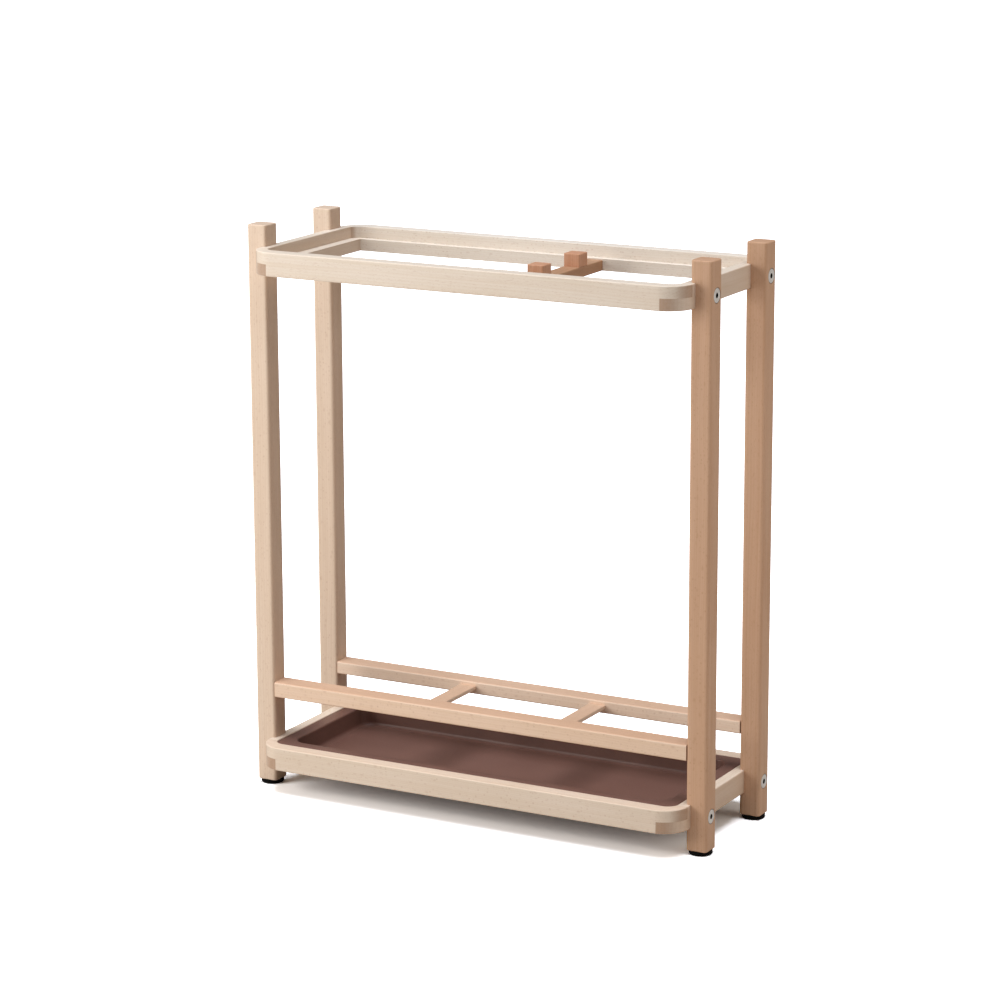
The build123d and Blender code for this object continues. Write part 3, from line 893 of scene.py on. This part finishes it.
# %% Helpers for turned fittings
def hexagon_reach(across_flats):
    """How far a hexagon's edge is from its middle, for each bearing."""
    return lambda bearing: across_flats / 2 / math.cos(bearing % math.radians(60) - math.radians(30))


def cross_reach(arm_length, arm_half_width):
    """The same for the cross of a screwdriver's recess."""
    def reach(bearing):
        off_arm = abs((bearing + math.radians(45)) % math.radians(90) - math.radians(45))
        return min(arm_length / math.cos(off_arm), arm_half_width / max(math.sin(off_arm), 1e-6))
    return reach


def sink_recess(bm, face, reach, depth, narrowing):
    """Insets a round face, fits the new ring to an outline and sinks it; the tool's way in."""
    bearings = [math.atan2(v.co.y, v.co.x) % math.tau for v in face.verts]
    outline = max(reach(bearing) for bearing in bearings)
    radius = face.verts[0].co.xy.length
    bmesh.ops.inset_individual(bm, faces=[face], thickness=radius - outline, use_even_offset=True)
    for corner in face.verts:
        bearing = math.atan2(corner.co.y, corner.co.x) % math.tau
        corner.co.x = math.cos(bearing) * reach(bearing)
        corner.co.y = math.sin(bearing) * reach(bearing)
    sunk = bmesh.ops.extrude_discrete_faces(bm, faces=[face])["faces"][0]
    bmesh.ops.translate(bm, vec=(0, 0, -depth), verts=sunk.verts)
    bmesh.ops.scale(bm, vec=(narrowing, narrowing, 1), verts=sunk.verts)
    return sunk


def cap_face(bm, highest):
    """The flat end of an upright turned part, its highest or its lowest."""
    ends = [face for face in bm.faces if len(face.verts) > 8]
    return (max if highest else min)(ends, key=lambda face: face.calc_center_median().z)


def stamp(target, pattern, place):
    """Copies a finished pattern into the target at a place."""
    copy = pattern.copy()
    bmesh.ops.transform(copy, matrix=place, verts=copy.verts)
    mesh = bpy.data.meshes.new("pattern")
    copy.to_mesh(mesh)
    copy.free()
    target.from_mesh(mesh)
    bpy.data.meshes.remove(mesh)


print("fitting helpers ready")


# %% Model the frame bolts
def model_bolt(length):
    """An upright bolt with the face of its head at height 0."""
    head_radius, head_thickness, shank_radius = 8.25 * MM, 3.0 * MM, 3.0 * MM
    socket_flats, socket_depth = 5.0 * MM, 2.2 * MM
    bm = bmesh.new()
    bmesh.ops.create_cone(bm, cap_ends=True, cap_tris=False, segments=48, radius1=head_radius,
                          radius2=head_radius, depth=head_thickness)
    bmesh.ops.translate(bm, vec=(0, 0, -head_thickness / 2), verts=bm.verts)
    under = cap_face(bm, highest=False)
    bmesh.ops.inset_individual(bm, faces=[under], thickness=head_radius - shank_radius,
                               use_even_offset=True)
    tip = bmesh.ops.extrude_discrete_faces(bm, faces=[under])["faces"][0]
    bmesh.ops.translate(bm, vec=(0, 0, head_thickness - length), verts=tip.verts)
    round_edges(bm, list(tip.edges), 0.8 * MM, 2)
    rim = cap_face(bm, highest=True)
    round_edges(bm, list(rim.edges), 0.6 * MM, 4)
    face = cap_face(bm, highest=True)
    sunk = sink_recess(bm, face, hexagon_reach(socket_flats), socket_depth, 0.96)
    bmesh.ops.inset_individual(bm, faces=[sunk], thickness=1.2 * MM, depth=-0.5 * MM)
    return bm


def model_frame_bolts():
    low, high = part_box("frame_bolts")
    insert_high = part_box("threaded_inserts")[1]
    insert_length, tip_stops_short = 12.0 * MM, 1.5 * MM
    length = high.x - (insert_high.x - (insert_length - tip_stops_short))
    pattern = model_bolt(length)
    bolts = bmesh.new()
    for side, face_x in ((-1, low.x), (1, high.x)):
        for front in (-1, 1):
            for height in bolt_heights:
                lie_down = Matrix.Rotation(side * math.radians(90), 4, "Y")
                place = Matrix.Translation((face_x, front * post_y * MM, height * MM)) @ lie_down
                stamp(bolts, pattern, place)
    pattern.free()
    return bolts


finish_piece(model_frame_bolts(), "frame_bolts_with_sockets", "stand",
             plated_steel, ["frame_bolts"], sharp_angle=35)

# %% [markdown]
# ## Screws and inserts
# Two screws hold the pegs from below and two hold the slats. Only their flat heads show,
# and only from underneath, but a head without its cross recess would look like a rivet.
# The brass inserts inside the end rails are never seen; they keep the shape that the
# design gave them and get a machined brass finish.

# %% Zinc and brass
def plain_metal(name, light, dark, roughness, turned):
    """A metal with fine machining lines along one axis, given by the share of each axis."""
    material, tree, shader = open_material(name)
    point = in_millimetres(tree)
    tone = place_group(tree, uneven_tone, {"Point in mm": point, "Drift size": 4.0, "Mottle size": 0.4})
    base = blend_colours(tree, tone["Drift"], light, dark)
    shader.inputs["Metallic"].default_value = 1.0
    rough = calc(tree, "ADD", roughness, calc(tree, "MULTIPLY", tone["Mottle"], 0.14))
    along = add(tree, "VectorMath", {0: point, 1: turned}, operation="DOT_PRODUCT").outputs["Value"]
    lines = calc(tree, "SINE", calc(tree, "MULTIPLY", along, math.tau))
    wire(tree, shader, base, rough, lines, 0.1 * MM, 0.4)
    return material


zinc = plain_metal("zinc_plate", colour(214, 208, 190), colour(190, 182, 160), 0.30, (0, 0, 0.7))
brass = plain_metal("machined_brass", colour(222, 184, 110), colour(200, 158, 84), 0.26, (1.0, 0, 0))
dress("threaded_inserts", brass)
print("materials:", zinc.name, brass.name)


# %% Model the screws
def model_screw(diameter, head, length):
    """An upright countersunk screw with its flat head at height 0."""
    bm = bmesh.new()
    cone = (head - diameter) / 2
    bmesh.ops.create_cone(bm, cap_ends=True, cap_tris=False, segments=32, radius1=diameter / 2,
                          radius2=head / 2, depth=cone)
    bmesh.ops.translate(bm, vec=(0, 0, -cone / 2), verts=bm.verts)
    shank = bmesh.ops.extrude_discrete_faces(bm, faces=[cap_face(bm, highest=False)])["faces"][0]
    bmesh.ops.translate(bm, vec=(0, 0, cone + diameter / 2 - length), verts=shank.verts)
    tip = bmesh.ops.extrude_discrete_faces(bm, faces=[shank])["faces"][0]
    bmesh.ops.translate(bm, vec=(0, 0, -diameter / 2), verts=tip.verts)
    tip_narrowing = 0.12
    bmesh.ops.scale(bm, vec=(tip_narrowing, tip_narrowing, 1), verts=tip.verts)
    recess = cross_reach(head * 0.30, head * 0.06)
    sink_recess(bm, cap_face(bm, highest=True), recess, head * 0.22, 0.5)
    return bm


def model_screws(node_name, diameter, head):
    """Both screws of a node, heads down, one at each end of the node's box."""
    low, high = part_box(node_name)
    pattern = model_screw(diameter, head, high.z - low.z)
    screws = bmesh.new()
    along_x = high.x - low.x > high.y - low.y
    for end in (low, high):
        inset = head / 2 if end is low else -head / 2
        x = end.x + inset if along_x else (low.x + high.x) / 2
        y = (low.y + high.y) / 2 if along_x else end.y + inset
        upside_down = Matrix.Rotation(math.radians(180), 4, "X")
        stamp(screws, pattern, Matrix.Translation((x, y, low.z)) @ upside_down)
    pattern.free()
    return screws


finish_piece(model_screws("peg_screws", 4.0 * MM, 8.0 * MM), "peg_screws_with_recess", "stand",
             zinc, ["peg_screws"])
finish_piece(model_screws("slat_screws", 3.0 * MM, 6.0 * MM), "slat_screws_with_recess", "stand",
             zinc, ["slat_screws"])

# %% [markdown]
# ## The floor
# The floor is a plain pale sheet, much larger than the stand, so that its edge is never
# seen. Its surface is dull, because a mirror image under the feet would make the room
# look wet. In a real studio the floor is lit by its own lamps, and dark screens keep its
# glare off the stand. Two numbers do the same here: the camera sees the floor brighter
# than it is, and the light that it throws back up is only about half as strong.

# %% Lay the floor
def floor_material():
    material, tree, shader = open_material("pale_floor")
    point = in_millimetres(tree)
    tone = place_group(tree, uneven_tone, {"Point in mm": point, "Drift size": 900.0, "Mottle size": 12.0})
    base = blend_colours(tree, tone["Drift"], (1.95, 1.95, 1.95, 1.0), (1.90, 1.90, 1.90, 1.0))
    seen = add(tree, "LightPath").outputs["Is Camera Ray"]
    shown = blend_colours(tree, seen, (0.46, 0.41, 0.36, 1.0), base)
    dull = add(tree, "BsdfDiffuse", {"Color": shown})
    tree.nodes.remove(shader)
    tree.links.new(dull.outputs[0], tree.nodes["Material Output"].inputs["Surface"])
    return material


bm = bmesh.new()
bmesh.ops.create_grid(bm, x_segments=1, y_segments=1, size=30.0)
floor_mesh = bpy.data.meshes.new("floor")
bm.to_mesh(floor_mesh)
bm.free()
floor_mesh.materials.append(floor_material())
floor = bpy.data.objects.new("floor", floor_mesh)
bpy.context.scene.collection.objects.link(floor)
print("floor laid")
